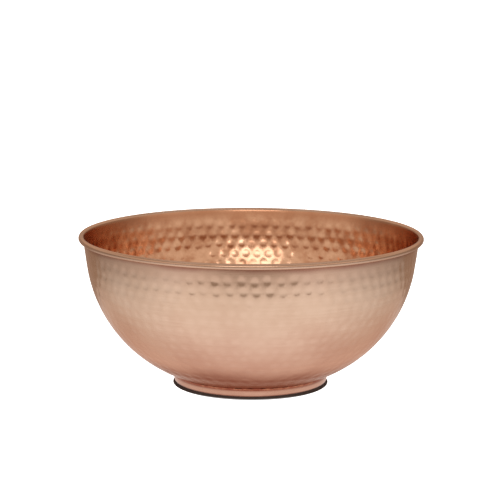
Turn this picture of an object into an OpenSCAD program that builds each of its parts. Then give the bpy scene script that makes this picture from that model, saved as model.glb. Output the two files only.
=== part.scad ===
// Hammered copper bowl on a low foot ring, with its top edge rolled over a wire.
// Millimetres. The bowl stands on z = 0 with its axis on the Z axis, and +Z is up.

/* [Bowl] */
// Outside diameter over the rolled rim
bowl_d = 260; // [200:1:320]
// Height from the table to the top of the rim
bowl_h = 112; // [90:1:136]
// Thickness of the copper sheet
sheet_t = 1.0; // [0.8:0.1:1.4]
// Outward lean of the upper wall, in degrees from upright
wall_lean = 8; // [4:1:12]
// Length of the straight stretch of wall below the rim
straight_l = 21.5; // [12:0.5:28]
// Height of the flat bottom's underside above the table
bottom_lift = 3; // [2:0.25:4]

/* [Rim] */
// Diameter of the wire that the top edge is rolled over
wire_d = 2.2; // [1.6:0.1:3.2]
// Radial play between the wire and the roll
wire_play = 0.05; // [0.02:0.01:0.1]
// How far the sheet wraps round the wire, in degrees
roll_wrap = 290; // [240:5:295]

/* [Foot] */
// Outside diameter of the foot ring, at its fullest
foot_d = 117; // [96:1:142]
// Height at which the fullest line of the foot would meet the wall
foot_h = 5.8; // [4.5:0.1:8]
// Thickness of the foot's strip
foot_t = 1.6; // [1.2:0.1:2.4]
// Radius of the crown across the strip's outer face
foot_crown = 9; // [7:0.5:16]

/* [Braze] */
// Thickness of the braze film between the foot and the bowl
braze_film = 0.25; // [0.15:0.05:0.35]
// Radius of the braze bead in the inner corner
braze_in_r = 1.7; // [1.2:0.1:2]
// Radius of the braze bead in the outer corner
braze_out_r = 1.1; // [0.8:0.1:1.4]

/* [Hidden] */
$fn = 180;
wall_fn = 1440;
bead_fn = 96;

// Rolled rim: the roll's hole, its outside and the middle of the wire.
hole_r = wire_d / 2 + wire_play;
roll_r = hole_r + sheet_t;
roll_pos = [bowl_d / 2 - roll_r, bowl_h - roll_r];

// Wall directions on the section: square to the straight stretch, and up along it.
wall_out = [cos(wall_lean), -sin(wall_lean)];
wall_up = [sin(wall_lean), cos(wall_lean)];

// The wall's outer face is straight from the roll down to straight_end, then one arc
// that leaves the straight smoothly and passes through the seat of the foot.
straight_top = roll_pos - hole_r * wall_out;
straight_end = straight_top - straight_l * wall_up;
foot_r = foot_d / 2;
seat = [foot_r, foot_h];
seat_chord = straight_end - seat;
arc_r = (seat_chord * seat_chord) / (2 * (seat_chord * wall_out));
arc_pos = straight_end - arc_r * wall_out;
bottom_z = max(bottom_lift, arc_pos.y - arc_r);
far = 2 * (bowl_d + bowl_h);

// Height of the bowl's underside at the radius r, outside the flat bottom.
function underside_z(r) = arc_pos.y - sqrt(pow(arc_r, 2) - pow(r - arc_pos.x, 2));

// The foot's inner radius, and the two corners under the bowl where the beads run.
foot_in_r = foot_r - foot_t;
foot_out_r = foot_r - foot_crown + sqrt(pow(foot_crown, 2) - pow(foot_h / 2, 2));
bead_in_pos = [foot_in_r, underside_z(foot_in_r)];
bead_out_pos = [foot_out_r, underside_z(foot_out_r)];

// Half of a section, to the right of the axis.
module right_half() {
    intersection() {
        children();
        translate([0, -far]) square([far, 2 * far]);
    }
}

// Everything inside the bowl's outer face, taken in by the depth. The straight stretch
// of wall runs up to the roll, and past it by the overrun.
module inside(depth, overrun = 0) {
    low_z = bottom_z + depth;
    top = straight_top - depth * wall_out + overrun * wall_up;
    intersection() {
        union() {
            translate(arc_pos) circle(r = arc_r - depth, $fn = wall_fn);
            translate([-far, arc_pos.y - arc_r + depth]) square([far + arc_pos.x, arc_r]);
            polygon([arc_pos, straight_end - depth * wall_out, top, top - arc_r * wall_out]);
        }
        polygon([[-far, low_z], [far, low_z], [far, top.y], top, top - far * wall_out]);
    }
}

// The slot left between the edge of the rolled sheet and the wall.
module roll_slot() {
    open_angle = 360 - roll_wrap;
    reach = 2 * roll_r;
    difference() {
        translate(roll_pos) rotate(180 - wall_lean) polygon([
            [0, 0],
            [reach, 0],
            reach * [cos(open_angle / 2), sin(open_angle / 2)],
            reach * [cos(open_angle), sin(open_angle)]
        ]);
        inside(0, overrun = hole_r);
    }
}

// The strip of the foot before its top is cut to the bowl.
module strip_band() {
    translate([foot_in_r, 0]) square([foot_t, foot_h + foot_t]);
}

module foot_section() {
    difference() {
        intersection() {
            strip_band();
            translate([foot_r - foot_crown, foot_h / 2]) circle(r = foot_crown);
        }
        inside(-braze_film);
    }
}

// Bowl raised from one sheet, with a flat bottom and a rolled rim.
module hammered_bowl() {
    color([0.78, 0.5, 0.37]) rotate_extrude() right_half() difference() {
        union() {
            inside(0);
            translate(roll_pos) circle(r = roll_r);
        }
        inside(sheet_t, overrun = roll_r);
        translate(roll_pos) circle(r = hole_r);
        roll_slot();
    }
}

// Wire that stiffens the rim, closed inside the roll.
module rim_wire() {
    color([0.66, 0.42, 0.3]) rotate_extrude() translate(roll_pos) circle(d = wire_d);
}

// Strip bent into a ring, its outer face crowned and its top cut to the bowl's curve.
module foot_ring() {
    color([0.8, 0.54, 0.4]) rotate_extrude() foot_section();
}

// Braze that joins the foot to the bowl: a thin film with a bead in each corner.
module foot_braze() {
    color([0.72, 0.6, 0.42]) rotate_extrude() difference() {
        union() {
            translate(bead_in_pos) circle(r = braze_in_r, $fn = bead_fn);
            translate(bead_out_pos) circle(r = braze_out_r, $fn = bead_fn);
            intersection() {
                translate([foot_in_r, 0]) square([foot_out_r - foot_in_r, bowl_h]);
                inside(-braze_film);
            }
        }
        inside(0);
        foot_section();
    }
}

hammered_bowl();
rim_wire();
foot_ring();
foot_braze();
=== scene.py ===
import math

import bpy
from mathutils import Euler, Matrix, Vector
from mathutils.geometry import delaunay_2d_cdt
from mathutils.kdtree import KDTree


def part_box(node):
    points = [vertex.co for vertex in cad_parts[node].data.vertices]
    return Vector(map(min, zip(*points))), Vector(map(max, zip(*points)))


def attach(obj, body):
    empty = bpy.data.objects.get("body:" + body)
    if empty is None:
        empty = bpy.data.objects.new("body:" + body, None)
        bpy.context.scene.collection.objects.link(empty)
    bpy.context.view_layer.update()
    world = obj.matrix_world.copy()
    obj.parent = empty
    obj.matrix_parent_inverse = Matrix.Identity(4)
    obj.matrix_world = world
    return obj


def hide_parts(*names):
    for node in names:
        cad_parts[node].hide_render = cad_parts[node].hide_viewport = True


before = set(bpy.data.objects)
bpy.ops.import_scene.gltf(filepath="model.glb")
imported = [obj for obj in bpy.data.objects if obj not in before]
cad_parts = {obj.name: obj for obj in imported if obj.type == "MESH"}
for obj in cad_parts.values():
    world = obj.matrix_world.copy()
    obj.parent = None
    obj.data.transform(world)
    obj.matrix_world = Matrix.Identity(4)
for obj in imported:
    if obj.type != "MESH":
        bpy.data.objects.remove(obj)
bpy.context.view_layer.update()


# ---------------------------------------------------------------------------
# hammered_bowl: one disc of copper sheet, raised into a bowl and hammered from
# the outside in rings of staggered blows. Each blow leaves a dish outside and a
# low bump inside. The top edge is rolled outward over the rim wire.
# ---------------------------------------------------------------------------
bowl_low, bowl_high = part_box("hammered_bowl")
wire_low, wire_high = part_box("rim_wire")
foot_low, foot_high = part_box("foot_ring")
sheet = 0.001
wall_lean = math.radians(8)
straight = 0.0215
foot_seat_height = 0.0058
roll_wrap = math.radians(290)
bottom_height = bowl_low.z
roll_radius = (wire_high.z - wire_low.z) / 2 + (bowl_high.z - wire_high.z)
hole_radius = roll_radius - sheet
roll_centre = Vector((bowl_high.x - roll_radius, bowl_high.z - roll_radius))
wall_out = Vector((math.cos(wall_lean), -math.sin(wall_lean)))
wall_up = Vector((math.sin(wall_lean), math.cos(wall_lean)))

# The wall runs straight down from the roll, then in one arc to its seat on the foot.
wall_top = roll_centre - hole_radius * wall_out
straight_end = wall_top - straight * wall_up
foot_seat = Vector((foot_high.x, foot_seat_height))
seat_chord = straight_end - foot_seat
arc_radius = seat_chord.dot(seat_chord) / (2 * seat_chord.dot(wall_out))
arc_centre = straight_end - arc_radius * wall_out


def wall_lengths(depth):
    """Flat, arc and straight lengths of the face that lies depth inside, and its arc's end."""
    radius = arc_radius - depth
    low_angle = math.asin((arc_centre.y - bottom_height - depth) / radius)
    flat = arc_centre.x + radius * math.cos(low_angle)
    return flat, radius * (low_angle - wall_lean), straight, low_angle


def wall_place(along):
    """Middle of the sheet at a length from the middle of the bottom, and the way outward."""
    flat, arc, _, low_angle = wall_lengths(sheet / 2)
    if along <= flat:
        return Vector((along, bottom_height + sheet / 2)), Vector((0.0, -1.0))
    if along <= flat + arc:
        angle = low_angle - (along - flat) / (arc_radius - sheet / 2)
        out = Vector((math.cos(angle), -math.sin(angle)))
        return arc_centre + (arc_radius - sheet / 2) * out, out
    return straight_end - sheet / 2 * wall_out + (along - flat - arc) * wall_up, wall_out


def wall_along(place):
    """Length from the middle of the bottom to a place on the sheet."""
    flat, arc, _, low_angle = wall_lengths(sheet / 2)
    section = Vector((math.hypot(place.x, place.y), place.z))
    angle = math.atan2(arc_centre.y - section.y, section.x - arc_centre.x)
    if angle > low_angle:
        return section.x
    if angle > wall_lean:
        return flat + (low_angle - angle) * (arc_radius - sheet / 2)
    return flat + arc + (section - straight_end).dot(wall_up)


def roll_point(turn, radius):
    """Section point on the roll, turned from the wall side over the top and outward."""
    angle = math.pi - wall_lean - turn
    return roll_centre + radius * Vector((math.cos(angle), math.sin(angle)))


class Sum:
    """A socket that takes part in a Python expression and adds the Math nodes it needs."""

    def __init__(self, tree, socket):
        self.tree = tree
        self.socket = socket

    def node(self, kind, settings=None, out=0, **inputs):
        """Adds a node: its settings first, then the values or links of its sockets."""
        new = self.tree.nodes.new(kind)
        for name, value in (settings or {}).items():
            setattr(new, name, value)
        for name, value in inputs.items():
            numbered = name[0] == "i" and name[1:].isdigit()
            socket = new.inputs[int(name[1:]) if numbered else name.replace("_", " ")]
            if isinstance(value, Sum):
                self.tree.links.new(value.socket, socket)
            else:
                socket.default_value = value
        return Sum(self.tree, new.outputs[out])

    def math(self, operation, *others):
        values = {f"i{k}": value for k, value in enumerate((self, *others))}
        return self.node("ShaderNodeMath", {"operation": operation}, **values)

    def vector_math(self, operation, *others, out=0, **named):
        values = {f"i{k}": value for k, value in enumerate((self, *others))}
        return self.node("ShaderNodeVectorMath", {"operation": operation}, out, **values, **named)

    def between(self, low, high):
        return self.node("ShaderNodeMapRange", {"interpolation_type": "SMOOTHSTEP"},
                         Value=self, From_Min=low, From_Max=high)

    def __add__(self, other): return self.math("ADD", other)
    def __radd__(self, other): return self.math("ADD", other)
    def __sub__(self, other): return self.math("SUBTRACT", other)
    def __rsub__(self, other): return self * -1.0 + other
    def __mul__(self, other): return self.math("MULTIPLY", other)
    def __rmul__(self, other): return self.math("MULTIPLY", other)
    def __truediv__(self, other): return self.math("DIVIDE", other)


# Rings of blows run round the middle of the sheet, from below the rim to the middle
# of the bottom, each ring half a step round from the one above it.
blow_radius = 0.0036
course_sizes = {
    "Rim radius": wall_top.x - sheet / 2 * wall_out.x,
    "Rim height": wall_top.y - sheet / 2 * wall_out.y,
    "Lean": wall_lean,
    "Straight": straight,
    "Arc radius": arc_radius - sheet / 2,
    "Arc angle": wall_lengths(sheet / 2)[3] - wall_lean,
    "First course": 0.0115,
    "Course gap": 0.0079,
    "Blow gap": 0.0092,
    "Blow radius": blow_radius,
    "Scatter": 0.0006,
}
press_sizes = {"Blow depth": 0.00034, "Ripple": 0.00008, "Smooth from": 0.104, "Smooth to": 0.098}
blow_seed = 7
least_radius, least_blows, course_twist = 0.0005, 3.0, 0.37
reach_range, force_range = (0.88, 1.1), (0.6, 1.2)
ripple_fineness = 95.0
outside_shown = 0.68
rim_loss_from, rim_loss_to, rim_loss = 0.084, 0.096, 0.5


def empty_tree(name, kinds, sizes):
    """A Geometry Nodes tree with named inputs: its sockets, and their identifiers."""
    tree = bpy.data.node_groups.new(name, "GeometryNodeTree")
    keys = {}
    for title, kind in (*kinds.items(), *((title, "Float") for title in sizes)):
        new = tree.interface.new_socket(title, in_out="INPUT", socket_type="NodeSocket" + kind)
        keys[title] = new.identifier
        if title in sizes:
            new.default_value = sizes[title]
    tree.interface.new_socket("Result", in_out="OUTPUT", socket_type="NodeSocketGeometry")
    entry = tree.nodes.new("NodeGroupInput")
    return tree, keys, {socket.name: Sum(tree, socket) for socket in entry.outputs if socket.name}


def course_tree():
    kinds = {"Start": "Geometry", "Courses": "Int", "Seed": "Int"}
    tree, keys, size = empty_tree("blow_courses", kinds, course_sizes)
    node = size["Lean"].node

    def vector(x, y, z):
        return node("ShaderNodeCombineXYZ", X=x, Y=y, Z=z)

    def chance(low, high, offset):
        return node("FunctionNodeRandomValue", out=1, i2=low, i3=high, Seed=size["Seed"] + offset)

    # One course of blows for each turn of the repeat zone.
    start = tree.nodes.new("GeometryNodeRepeatInput")
    end = tree.nodes.new("GeometryNodeRepeatOutput")
    start.pair_with_output(end)
    tree.links.new(size["Courses"].socket, start.inputs["Iterations"])
    course = Sum(tree, start.outputs["Iteration"])
    along = size["First course"] + course * size["Course gap"]
    on_straight = along.math("MINIMUM", size["Straight"])
    arc_length = size["Arc radius"] * size["Arc angle"]
    on_arc = (along - size["Straight"]).math("MAXIMUM", 0.0).math("MINIMUM", arc_length)
    on_flat = (along - size["Straight"] - arc_length).math("MAXIMUM", 0.0)
    angle = size["Lean"] + on_arc / size["Arc radius"]
    radius = (
        size["Rim radius"] - on_straight * size["Lean"].math("SINE")
        + size["Arc radius"] * (angle.math("COSINE") - size["Lean"].math("COSINE")) - on_flat
    ).math("MAXIMUM", least_radius)
    height = (
        size["Rim height"] - on_straight * size["Lean"].math("COSINE")
        + size["Arc radius"] * (size["Lean"].math("SINE") - angle.math("SINE"))
    )
    count = (radius * (2 * math.pi) / size["Blow gap"]).math("ROUND").math("MAXIMUM", least_blows)
    circle = node("GeometryNodeMeshCircle", Vertices=count, Radius=radius)
    turned = course.math("MODULO", 2.0) * math.pi / count + course * course_twist
    placed = node("GeometryNodeTransform", Geometry=circle,
                  Translation=vector(0.0, 0.0, height), Rotation=vector(0.0, 0.0, turned))
    is_flat = on_flat.math("GREATER_THAN", 0.0)
    lean_out = angle.math("COSINE") * (1 - is_flat)
    lean_down = angle.math("SINE") * (1 - is_flat) + is_flat
    here = node("GeometryNodeInputPosition")
    level = here.vector_math("MULTIPLY", (1, 1, 0)).vector_math("NORMALIZE")
    outward = level.vector_math("SCALE", Scale=lean_out).vector_math(
        "SUBTRACT", vector(0.0, 0.0, lean_down))
    kept = node("GeometryNodeStoreNamedAttribute", {"data_type": "FLOAT_VECTOR"},
                Geometry=placed, Name="outward", Value=outward)
    both = node("GeometryNodeJoinGeometry", Geometry=kept)
    tree.links.new(start.outputs["Geometry"], both.socket.node.inputs[0])
    tree.links.new(both.socket, end.inputs["Geometry"])

    # No blow lands quite on its mark, and no two are as hard or as wide.
    wander = vector(chance(-1.0, 1.0, 0), chance(-1.0, 1.0, 1), chance(-1.0, 1.0, 2))
    marks = node("GeometryNodeSetPosition", Geometry=Sum(tree, end.outputs["Geometry"]),
                 Offset=wander.vector_math("SCALE", Scale=size["Scatter"]))
    reach = chance(*reach_range, 3) * size["Blow radius"]
    for name, value in (("reach", reach), ("force", chance(*force_range, 4))):
        marks = node("GeometryNodeStoreNamedAttribute", Geometry=marks, Name=name, Value=value)
    tree.links.new(marks.socket, tree.nodes.new("NodeGroupOutput").inputs[0])
    return tree, keys


def press_tree():
    """Each point of the sheet moves inward with the blow nearest to it."""
    kinds = {"Sheet": "Geometry", "Blows": "Object", "Finish": "Material"}
    tree, keys, size = empty_tree("hammer_blows", kinds, press_sizes)
    node = size["Ripple"].node
    info = node("GeometryNodeObjectInfo", Object=size["Blows"])
    marks = Sum(tree, info.socket.node.outputs["Geometry"])
    nearest = node("GeometryNodeSampleNearest", Geometry=marks)
    here = node("GeometryNodeInputPosition")

    def of_blow(value, kind):
        return node("GeometryNodeSampleIndex", {"data_type": kind},
                    Geometry=marks, Value=value, Index=nearest)

    def stored(name, kind):
        return node("GeometryNodeInputNamedAttribute", {"data_type": kind}, Name=name)

    blow_out = of_blow(stored("outward", "FLOAT_VECTOR"), "FLOAT_VECTOR")
    offset = here.vector_math("SUBTRACT", of_blow(here, "FLOAT_VECTOR"))
    rise = offset.vector_math("DOT_PRODUCT", blow_out, out=1)
    length = offset.vector_math("LENGTH", out=1)
    off_centre = (length * length - rise * rise).math("MAXIMUM", 0.0).math("SQRT")
    share = (off_centre / of_blow(stored("reach", "FLOAT"), "FLOAT")).math("MINIMUM", 1.0)
    dish = (1 - share * share) * of_blow(stored("force", "FLOAT"), "FLOAT")
    noise = node("ShaderNodeTexNoise", Vector=here, Scale=ripple_fineness, Detail=1.0)
    height = Sum(tree, node("ShaderNodeSeparateXYZ", Vector=here).socket.node.outputs[2])
    waves = (size["Smooth from"] - height) / (size["Smooth from"] - size["Smooth to"])
    ripple = (noise - 0.5) * size["Ripple"] * 2.0 * waves.math("MAXIMUM", 0.0).math("MINIMUM", 1.0)
    # Low down a blow shows more inside than outside, and near the rim less.
    inside = stored("inside", "FLOAT")
    less_near_rim = height.between(rim_loss_from, rim_loss_to) * rim_loss
    shown = outside_shown + inside * (1 - outside_shown - less_near_rim)
    push = dish * size["Blow depth"] * shown + ripple
    pressed = node("GeometryNodeSetPosition", Geometry=size["Sheet"],
                   Offset=blow_out.vector_math("SCALE", Scale=push * -1.0))
    struck = node("GeometryNodeStoreNamedAttribute", Geometry=pressed, Name="struck", Value=dish)
    smooth = node("GeometryNodeSetShadeSmooth", Geometry=struck)
    real = node("GeometryNodeRealizeInstances", Geometry=smooth)
    dressed = node("GeometryNodeSetMaterial", Geometry=real, Material=size["Finish"])
    tree.links.new(dressed.socket, tree.nodes.new("NodeGroupOutput").inputs[0])
    return tree, keys


def shaped(name, start_mesh, build, settings):
    """Plain mesh that a Geometry Nodes tree makes from a start mesh."""
    rough = bpy.data.objects.new(name, start_mesh)
    bpy.context.scene.collection.objects.link(rough)
    tree, keys = build()
    maker = rough.modifiers.new(name, "NODES")
    maker.node_group = tree
    for title, value in settings.items():
        maker[keys[title]] = value
    done = rough.evaluated_get(bpy.context.evaluated_depsgraph_get())
    mesh = bpy.data.meshes.new_from_object(done)
    bpy.data.objects.remove(rough)
    return mesh


wall_total = sum(wall_lengths(sheet / 2)[:3])
courses = int((wall_total - course_sizes["First course"]) / course_sizes["Course gap"]) + 1
blows = bpy.data.objects.new("blows", shaped(
    "blow_places", bpy.data.meshes.new("start"), course_tree,
    {"Courses": courses, "Seed": blow_seed}))
bpy.context.scene.collection.objects.link(blows)

# The sheet's points stand in rings round each blow, so that its edge is crisp, and the
# plain band under the roll has rings of its own. The sheet is laid out flat to join
# them in triangles, then the same triangles are used on both of its faces.
blow_rings = ((0.0, 1), (0.4, 6), (0.74, 10), (1.0, 12))
ring_points = 480
band_gap = 0.0015
band_rings = 5
cell_margin = 0.0003
flat_scale = 1000.0
join_margin = 1e-6
least_round = 1e-4
roll_steps = 13
hole_steps = 5


def laid_out(along, turn):
    return Vector((along * math.cos(turn), along * math.sin(turn)))


def flat_points():
    """Places of the sheet's points when it is laid out flat about its middle."""
    tree = KDTree(len(blows.data.vertices))
    for index, blow in enumerate(blows.data.vertices):
        tree.insert(blow.co, index)
    tree.balance()
    reach = [value.value for value in blows.data.attributes["reach"].data]
    points = []
    for k in range(band_rings + 1):
        for step in range(ring_points):
            turn = 2 * math.pi * (step + 0.5 * (k % 2)) / ring_points
            points.append(laid_out(wall_total - k * band_gap, turn))
    band_low = wall_total - (band_rings + 0.5) * band_gap
    for index, blow in enumerate(blows.data.vertices):
        along, turn = wall_along(blow.co), math.atan2(blow.co.y, blow.co.x)
        stretch = along / max(math.hypot(blow.co.x, blow.co.y), least_round)
        out, round_way = laid_out(1.0, turn), laid_out(1.0, turn + math.pi / 2)
        for share, count in blow_rings:
            for step in range(count):
                angle = 2 * math.pi * (step + 0.5 * share) / count
                across = math.cos(angle) * share * reach[index]
                up = math.sin(angle) * share * reach[index]
                point = laid_out(along, turn) + round_way * across * stretch + out * up
                if point.length > band_low:
                    continue
                section, _ = wall_place(point.length)
                way = point.normalized() if point.length else Vector((1, 0))
                place = Vector((section.x * way.x, section.x * way.y, section.y))
                near = tree.find_n(place, 2)
                own = [gap for _, found, gap in near if found == index]
                other = [gap for _, found, gap in near if found != index]
                if own and own[0] < other[0] - cell_margin:
                    points.append(point)
    return points


def plain_bowl_mesh():
    """Closed mesh of the spun shape before hammering, with its inner face marked."""
    layout = [point * flat_scale for point in flat_points()]
    joined = delaunay_2d_cdt(layout, [], [], 0, join_margin)
    flat_places, triangles = joined[0], joined[2]
    places, faces = [], []
    for side in (-1, 1):
        for point in flat_places:
            along = min(point.length / flat_scale, wall_total)
            section, out = wall_place(along)
            section = section + out * side * sheet / 2
            way = point.normalized() if point.length else Vector((1, 0))
            places.append((section.x * way.x, section.x * way.y, section.y))
    count = len(flat_places)
    for a, b, c in triangles:
        faces += [(a, b, c), (count + c, count + b, count + a)]

    def ring(section):
        first = len(places)
        for step in range(ring_points):
            turn = 2 * math.pi * step / ring_points
            places.append((section.x * math.cos(turn), section.x * math.sin(turn), section.y))
        return range(first, first + ring_points)

    rim = [None] * ring_points
    for index, point in enumerate(flat_places):
        if point.length > (wall_total - band_gap / 2) * flat_scale:
            step = round(math.atan2(point.y, point.x) * ring_points / (2 * math.pi))
            rim[step % ring_points] = index
    over = [roll_point(roll_wrap * (k + 1) / roll_steps, roll_radius) for k in range(roll_steps)]
    back = [roll_point(roll_wrap * (1 - k / hole_steps), hole_radius) for k in range(hole_steps)]
    rings = [rim, *(ring(section) for section in over + back), [count + index for index in rim]]
    for low, high in zip(rings, rings[1:]):
        for step in range(ring_points):
            after = (step + 1) % ring_points
            faces.append((low[after], low[step], high[step], high[after]))
    mesh = bpy.data.meshes.new("plain_bowl")
    mesh.from_pydata(places, [], faces)
    marked = {"inside": range(count), "roll": range(2 * count, 2 * count + roll_steps * ring_points)}
    for name, points in marked.items():
        values = mesh.attributes.new(name, "FLOAT", "POINT")
        for point in points:
            values.data[point].value = 1.0
    return mesh


def blank_material(name):
    """A metal with nothing on it yet: its tree, its shader and the place on the piece."""
    material = bpy.data.materials.new(name)
    material.use_nodes = True
    tree = material.node_tree
    shader = tree.nodes["Principled BSDF"]
    shader.inputs["Metallic"].default_value = 1.0
    spot = Sum(tree, tree.nodes.new("ShaderNodeTexCoord").outputs["Object"])
    return material, tree, shader, spot


def mix_colours(share, first, second):
    colours = {}
    for key, colour in (("i6", first), ("i7", second)):
        colours[key] = colour if isinstance(colour, Sum) else (*colour, 1)
    return share.node("ShaderNodeMix", {"data_type": "RGBA"}, out=2, i0=share, **colours)


rub_round, rub_across = 3.0, 1100.0


def round_rub(spot):
    """Fine rings left by rubbing the turning piece, and the radius and height of the spot."""
    x, y, z = (Sum(spot.tree, s) for s in
               spot.node("ShaderNodeSeparateXYZ", Vector=spot).socket.node.outputs)
    radius = (x * x + y * y).math("SQRT").math("MAXIMUM", 0.0001)
    rings = spot.node("ShaderNodeCombineXYZ", X=x / radius * rub_round,
                      Y=y / radius * rub_round, Z=(z + radius) * rub_across)
    rub = spot.node("ShaderNodeTexNoise", Vector=rings, Scale=1.0, Detail=3.0, Roughness=0.6)
    return rub, radius, z


outer_light, outer_dark = (0.64, 0.44, 0.32), (0.58, 0.385, 0.27)
rosy_light, rosy_dark = (0.63, 0.38, 0.285), (0.57, 0.325, 0.24)
# The inside's copper is darker and warmer than the outside's, partly as painted shade and bounce
# light within the bowl.
inner_light, inner_dark = (0.67, 0.412, 0.272), (0.48, 0.24, 0.14)
# A dark brown that serves as heat stain and as painted shade: round the foot, under and on the rolled
# edge, and at the foot's top and standing edge.
stain_and_painted_shade = (0.22, 0.06, 0.038)
mirror_edge_tint = (0.95, 0.76, 0.66)
tone_size, grain_size, patch_size = 22.0, 1500.0, 75.0
worn_from, worn_to = 0.36, 0.64
rosy_from, rosy_to, rosy_wander = 0.020, 0.085, 0.03
aired_from, aired_to = 0.38, 0.60
rim_band_from, rim_band_to, rim_band_share = 0.1015, 0.1085, 0.8
foot_shade_from, foot_shade_to, foot_shade_wander = 0.076, 0.096, 0.012
under_roll_shade_wander = 0.006
under_roll_shade_bands = ((0.088, 0.104, 0.22), (0.103, 0.1085, 0.6))
roll_shade = 0.2
bowl_rough, bowl_rough_spread, struck_polish = 0.22, 0.10, 0.02
bowl_relief, relief_depth = 0.15, 0.00005


def bowl_finish():
    """Satin copper: paler outside, warmer inside, darkened round the foot by painted shade with some
    heat stain from brazing, and by painted shade under and on the rolled edge.
    """
    material, tree, shader, spot = blank_material("satin_hammered_copper")
    shader.inputs["Specular Tint"].default_value = (*mirror_edge_tint, 1)
    rub, radius, height = round_rub(spot)
    tone = spot.node("ShaderNodeTexNoise", Vector=spot, Scale=tone_size, Detail=4.0, Roughness=0.6)
    grain = spot.node("ShaderNodeTexNoise", Vector=spot, Scale=grain_size, Detail=2.0)
    inside = spot.node("ShaderNodeAttribute", {"attribute_name": "inside"}, out=2)
    struck = spot.node("ShaderNodeAttribute", {"attribute_name": "struck"}, out=2)
    roll = spot.node("ShaderNodeAttribute", {"attribute_name": "roll"}, out=2)
    toned = (tone * 0.7 + rub * 0.3 + (struck - 0.3) * 0.06).between(worn_from, worn_to)
    waved = height + (tone - 0.5) * rosy_wander
    low_down = (1 - waved.between(rosy_from, rosy_to)) * (1 - inside)
    outer = mix_colours(low_down, mix_colours(toned, outer_dark, outer_light),
                        mix_colours(toned, rosy_dark, rosy_light))
    patch = spot.node("ShaderNodeTexNoise", Vector=spot, Scale=patch_size, Detail=4.0, Roughness=0.55)
    aired = (patch * 0.6 + tone * 0.4).between(aired_from, aired_to)
    # Inside, the copper is darker in a band just below the rolled edge.
    inner_light_share = aired * (1 - height.between(rim_band_from, rim_band_to) * (1 - roll) * rim_band_share)
    inner = mix_colours(inner_light_share, inner_dark, inner_light)
    body = mix_colours(inside, outer, inner)
    # Painted shade round the foot, standing for the dark floor seen in the metal under the bowl, with
    # some heat stain from brazing.
    spread = radius + (tone - 0.5) * foot_shade_wander
    near_foot_shade = 1 - spread.between(foot_shade_from, foot_shade_to)
    # Painted shade on the outside wall under the rolled edge, in two bands.
    uneven = height + (tone - 0.5) * under_roll_shade_wander
    wide, narrow = (uneven.between(low, high) * share for low, high, share in under_roll_shade_bands)
    under_roll_shade = wide + narrow
    outside_shade_and_stain = near_foot_shade.math("MAXIMUM", under_roll_shade * (1 - roll)) * (1 - inside)
    # The rolled edge is painted a little darker, as shade.
    shade_and_stain_share = outside_shade_and_stain.math("MAXIMUM", roll * roll_shade)
    tree.links.new(mix_colours(shade_and_stain_share, body, stain_and_painted_shade).socket, shader.inputs["Base Color"])
    rough = (bowl_rough + (rub - 0.5) * bowl_rough_spread + (tone - 0.5) * bowl_rough_spread
             - struck * struck_polish)
    tree.links.new(rough.socket, shader.inputs["Roughness"])
    relief = spot.node("ShaderNodeBump", Height=rub * 0.7 + grain * 0.3,
                       Strength=bowl_relief, Distance=relief_depth)
    tree.links.new(relief.socket, shader.inputs["Normal"])
    return material


bowl = bpy.data.objects.new("copper_bowl", shaped(
    "hammered", plain_bowl_mesh(), press_tree, {"Blows": blows, "Finish": bowl_finish()}))
bpy.data.objects.remove(blows)
bpy.context.scene.collection.objects.link(bowl)
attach(bowl, "root")
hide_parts("hammered_bowl")


# ---------------------------------------------------------------------------
# rim_wire: drawn copper wire closed inside the roll to stiffen the edge. It is
# seen only through the slot under the rolled edge, dull and a little oxidised.
# ---------------------------------------------------------------------------
wire_dark, wire_light = (0.40, 0.22, 0.14), (0.56, 0.34, 0.23)


def wire_finish():
    material, tree, shader, spot = blank_material("drawn_copper_wire")
    tone = spot.node("ShaderNodeTexNoise", Vector=spot, Scale=60.0, Detail=4.0)
    colour = mix_colours(tone.between(0.35, 0.65), wire_dark, wire_light)
    tree.links.new(colour.socket, shader.inputs["Base Color"])
    tree.links.new((0.36 + tone * 0.2).socket, shader.inputs["Roughness"])
    return material


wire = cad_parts["rim_wire"]
wire.data.materials.clear()
wire.data.materials.append(wire_finish())


# ---------------------------------------------------------------------------
# foot_ring: a strip of copper bent into a ring and butted end to end, its outer
# face crowned. It carries the bowl, stands on a narrow flat and is planished.
# ---------------------------------------------------------------------------
def spin(name, outline, steps, swell):
    """Closed ring from an outline of section points, listed counter-clockwise."""
    places, faces, count = [], [], len(outline)
    for step in range(steps):
        turn = 2 * math.pi * step / steps
        for k, point in enumerate(outline):
            moved = swell(turn, k, point)
            places.append((moved[0] * math.cos(turn), moved[0] * math.sin(turn), moved[1]))
    for step in range(steps):
        after = (step + 1) % steps
        for k in range(count):
            up = (k + 1) % count
            faces.append((step * count + k, after * count + k, after * count + up, step * count + up))
    mesh = bpy.data.meshes.new(name)
    mesh.from_pydata(places, [], faces)
    for face in mesh.polygons:
        face.use_smooth = True
    piece = bpy.data.objects.new(name, mesh)
    bpy.context.scene.collection.objects.link(piece)
    return piece


strip = 0.0016
crown = 0.009
fullest = Vector((foot_high.x, 0.0029))
strip_top_outer, strip_top_inner = 0.00535, 0.00485
edge_round = 0.00025
crown_steps, inner_steps = 18, 8
first_crown_point = 5
planish_flats, planish_depth = 72, 0.00005
foot_turn_steps = 576


def crown_x(height):
    drop = height - fullest.y
    return fullest.x - (crown - math.sqrt(crown * crown - drop * drop))


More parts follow.
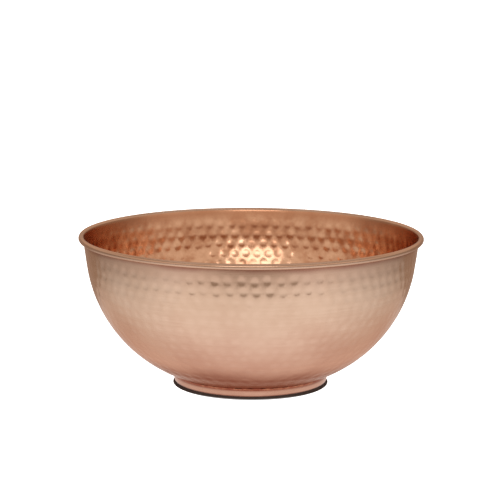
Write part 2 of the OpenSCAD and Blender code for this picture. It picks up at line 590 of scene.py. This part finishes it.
def foot_outline():
    """Section of the strip: its flat and two rounded edges, then up the crown and down inside."""
    low_in, low_out = Vector((fullest.x - strip, 0.0)), Vector((crown_x(0.0), 0.0))
    eased = edge_round * 0.3
    points = [low_in + Vector((0, edge_round)), low_in + Vector((eased, eased)),
              low_in + Vector((edge_round, 0)), low_out - Vector((edge_round, 0)),
              low_out + Vector((-eased, eased))]
    for k in range(crown_steps + 1):
        height = edge_round + (strip_top_outer - edge_round) * k / crown_steps
        points.append(Vector((crown_x(height), height)))
    points.append(Vector((fullest.x - strip, strip_top_inner)))
    for k in range(1, inner_steps):
        height = strip_top_inner - (strip_top_inner - edge_round) * k / inner_steps
        points.append(Vector((fullest.x - strip, height)))
    return points


def planish(turn, k, point):
    """Shallow flats left round the outer face by the planishing hammer."""
    if not first_crown_point <= k < first_crown_point + crown_steps:
        return point
    place = turn * planish_flats / (2 * math.pi)
    flat = math.floor(place)
    depth = planish_depth * (0.6 + 0.4 * math.sin(flat * 12.9898))
    across = 2 * (place - flat) - 1
    return point.x - depth * (1 - across * across), point.y


def foot_finish():
    material, tree, shader, spot = blank_material("foot_copper")
    rub, radius, height = round_rub(spot)
    tone = spot.node("ShaderNodeTexNoise", Vector=spot, Scale=30.0, Detail=4.0, Roughness=0.6)
    body = mix_colours((tone * 0.7 + rub * 0.3).between(worn_from, worn_to), rosy_dark, rosy_light)
    # Painted contact shadow along the foot's standing edge.
    standing_edge_shadow = 1 - (height + (tone - 0.5) * 0.0006).between(0.0002, 0.0010)
    # The foot's top under the bowl is darkened, partly heat scale from brazing, partly painted shade
    # in the corner.
    joint_scale_and_shade = (height + (tone - 0.5) * 0.001).between(0.0026, 0.0053)
    toned = mix_colours(standing_edge_shadow.math("MAXIMUM", joint_scale_and_shade) * 0.85, body, stain_and_painted_shade)
    tree.links.new(toned.socket, shader.inputs["Base Color"])
    rough = 0.28 + (rub - 0.5) * 0.12 + (tone - 0.5) * 0.1
    tree.links.new(rough.socket, shader.inputs["Roughness"])
    relief = spot.node("ShaderNodeBump", Height=rub, Strength=0.25, Distance=relief_depth)
    tree.links.new(relief.socket, shader.inputs["Normal"])
    return material


foot = spin("foot_strip", foot_outline(), foot_turn_steps, planish)
foot.data.materials.append(foot_finish())
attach(foot, "root")
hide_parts("foot_ring")


# ---------------------------------------------------------------------------
# foot_braze: brazing metal run in a thin film between the foot and the bowl, with a
# bead left in the corner on both sides. It is uneven in colour and dark with scale.
# ---------------------------------------------------------------------------
braze_dark, braze_light = (0.34, 0.10, 0.062), (0.54, 0.24, 0.145)


def braze_finish():
    material, tree, shader, spot = blank_material("brazed_joint")
    tone = spot.node("ShaderNodeTexNoise", Vector=spot, Scale=140.0, Detail=5.0, Roughness=0.65)
    colour = mix_colours(tone.between(0.4, 0.68), braze_dark, braze_light)
    tree.links.new(colour.socket, shader.inputs["Base Color"])
    tree.links.new((0.3 + tone * 0.3).socket, shader.inputs["Roughness"])
    relief = spot.node("ShaderNodeBump", Height=tone, Strength=0.4, Distance=0.0001)
    tree.links.new(relief.socket, shader.inputs["Normal"])
    return material


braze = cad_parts["foot_braze"]
braze.data.materials.clear()
braze.data.materials.append(braze_finish())


# ---------------------------------------------------------------------------
# The studio: a white sweep seen by the camera only, a glowing table top seen only in
# the metal, and a dark disc under the foot that stands for the shadow of contact.
# Soft lights overhead and in front, a room lighter in front, and the camera.
# ---------------------------------------------------------------------------
def studio_sheet(name, places, faces, white):
    """A glowing sheet of the studio, and its shader."""
    mesh = bpy.data.meshes.new(name)
    mesh.from_pydata(places, [], faces)
    material = bpy.data.materials.new(name)
    material.use_nodes = True
    shader = material.node_tree.nodes["Principled BSDF"]
    shader.inputs["Base Color"].default_value = (white, white, white, 1)
    shader.inputs["Roughness"].default_value = 0.7
    shader.inputs["Specular IOR Level"].default_value = 0.1
    shader.inputs["Emission Color"].default_value = (1, 1, 1, 1)
    shader.inputs["Emission Strength"].default_value = 1.0
    mesh.materials.append(material)
    piece = bpy.data.objects.new(name, mesh)
    bpy.context.scene.collection.objects.link(piece)
    return piece, shader


def glow_by_place(shader, paint):
    """Paints a sheet's glow by the place on it."""
    tree = shader.id_data
    spot = Sum(tree, tree.nodes.new("ShaderNodeTexCoord").outputs["Object"])
    tree.links.new(paint(spot).socket, shader.inputs["Emission Color"])


# The disc of painted contact shadow lies a little towards the camera, and its edge is soft.
contact_shadow_radius, contact_shadow_front, contact_shadow_points = 0.0587, 0.0095, 96
contact_from, contact_to = 0.0638, 0.0700
contact_shadow_edge = [(contact_shadow_radius * math.cos(2 * math.pi * k / contact_shadow_points),
               contact_shadow_radius * math.sin(2 * math.pi * k / contact_shadow_points) - contact_shadow_front, 0.0)
              for k in range(contact_shadow_points)]


def contact_glow(spot):
    contact = spot.vector_math("LENGTH", out=1).between(contact_from, contact_to)
    return mix_colours(contact, (0.0, 0.0, 0.0), (1.0, 1.0, 1.0))


stand, contact_shadow_shader = studio_sheet("stand", contact_shadow_edge, [tuple(range(contact_shadow_points))], 0.10)
stand.visible_glossy = False
glow_by_place(contact_shadow_shader, contact_glow)

# The table top grows dimmer away from its middle, and tinted in the bowl's shade.
table_side, table_front, table_back, table_drop = 0.48, -0.325, 0.16, -0.0002
lit_from, lit_middle, lit_even, lit_loss = 1.17, -0.28, 0.18, 1.72
shade_from, shade_to, shade_tint = 0.145, 0.075, (0.83, 0.755, 0.71)
shade_stretch = (0.6, 1.0, 1.0)


def table_glow(spot):
    away = spot.vector_math("DISTANCE", (0.0, lit_middle, 0.0), out=1)
    fall = (away - lit_even).math("MAXIMUM", 0.0) * lit_loss
    from_bowl = spot.vector_math("MULTIPLY", shade_stretch).vector_math("LENGTH", out=1)
    tint = mix_colours(from_bowl.between(shade_to, shade_from), shade_tint, (1.0, 1.0, 1.0))
    return tint.vector_math("SCALE", Scale=(lit_from - fall).math("MAXIMUM", 0.0))


table_corners = [(x, y, table_drop) for x, y in (
    (-table_side, table_front), (table_side, table_front),
    (table_side, table_back), (-table_side, table_back))]
table, table_shader = studio_sheet("table", table_corners, [(0, 1, 2, 3)], 0.0)
table.visible_camera = False
glow_by_place(table_shader, table_glow)

sweep_side, sweep_front, sweep_back, sweep_bend, sweep_top = 3.0, -3.0, 1.6, 0.8, 3.2
sweep_drop, bend_steps = 0.0005, 16
sweep_line = [(sweep_front, -sweep_drop)]
for k in range(bend_steps + 1):
    bend = math.pi / 2 * k / bend_steps
    sweep_line.append((sweep_back + sweep_bend * math.sin(bend),
                       sweep_bend * (1 - math.cos(bend)) - sweep_drop))
sweep_line.append((sweep_back + sweep_bend, sweep_top))
sweep, _ = studio_sheet(
    "sweep",
    [(x, y, z) for y, z in sweep_line for x in (-sweep_side, sweep_side)],
    [(2 * k, 2 * k + 1, 2 * k + 3, 2 * k + 2) for k in range(len(sweep_line) - 1)], 0.85)
sweep.visible_glossy = False


def soft_light(name, place, aim, width, depth, glow):
    """A soft light whose brightness, seen in a mirror, is the glow."""
    lamp = bpy.data.lights.new(name, "AREA")
    lamp.shape = "RECTANGLE"
    lamp.size, lamp.size_y = width, depth
    lamp.energy = glow * math.pi * width * depth
    holder = bpy.data.objects.new(name, lamp)
    bpy.context.scene.collection.objects.link(holder)
    holder.location = place
    holder.rotation_euler = (Vector(aim) - Vector(place)).to_track_quat("-Z", "Y").to_euler()


soft_light("overhead_light", (0.0, 0.1, 1.9), (0.0, 0.0, 0.0), 2.4, 2.0, 0.40)
soft_light("front_light", (-0.08, -1.36, 0.77), (0.0, 0.12, 0.08), 0.95, 0.38, 2.2)
soft_light("low_front_light", (0.0, -1.1, 0.03), (0.0, 0.0, 0.06), 1.2, 0.12, 0.5)

# The room glows evenly, with a brighter band in front and a glow high up behind.
even_glow, front_glow, back_glow = 0.45, 0.5, 0.35
room_colour = (1.0, 0.86, 0.74)
world = bpy.data.worlds.new("studio_room")
world.use_nodes = True
room = world.node_tree.nodes["Background"]
look = Sum(world.node_tree, world.node_tree.nodes.new("ShaderNodeTexCoord").outputs["Generated"])
_, look_back, look_up = (Sum(world.node_tree, s) for s in
                         look.node("ShaderNodeSeparateXYZ", Vector=look).socket.node.outputs)
in_front = 1 - look_back.between(-0.4, 0.2)
level_band = look_up.between(-0.05, 0.05) * (1 - look_up.between(0.60, 0.75))
backdrop = look_up.between(0.15, 0.30) * (1 - look_up.between(0.60, 0.80)) * (1 - in_front)
room_glow = in_front * level_band * front_glow + backdrop * back_glow + even_glow
world.node_tree.links.new(room_glow.socket, room.inputs["Strength"])
room.inputs["Color"].default_value = (*room_colour, 1)
bpy.context.scene.world = world
bpy.context.scene.view_settings.view_transform = "Standard"

camera_side, camera_distance, camera_height = -0.0008, 1.3225, 0.3335
camera_pitch, camera_roll = math.radians(10.05), math.radians(0.28)
film_width, lens_length = 36, 127.872
camera_data = bpy.data.cameras.new("camera")
camera_data.sensor_width = film_width
camera_data.lens = lens_length
camera = bpy.data.objects.new("camera", camera_data)
bpy.context.scene.collection.objects.link(camera)
camera.location = (camera_side, -camera_distance, camera_height)
level_view = Euler((math.pi / 2 - camera_pitch, 0, 0)).to_matrix()
camera.rotation_euler = (level_view @ Euler((0, 0, camera_roll)).to_matrix()).to_euler()
bpy.context.scene.camera = camera
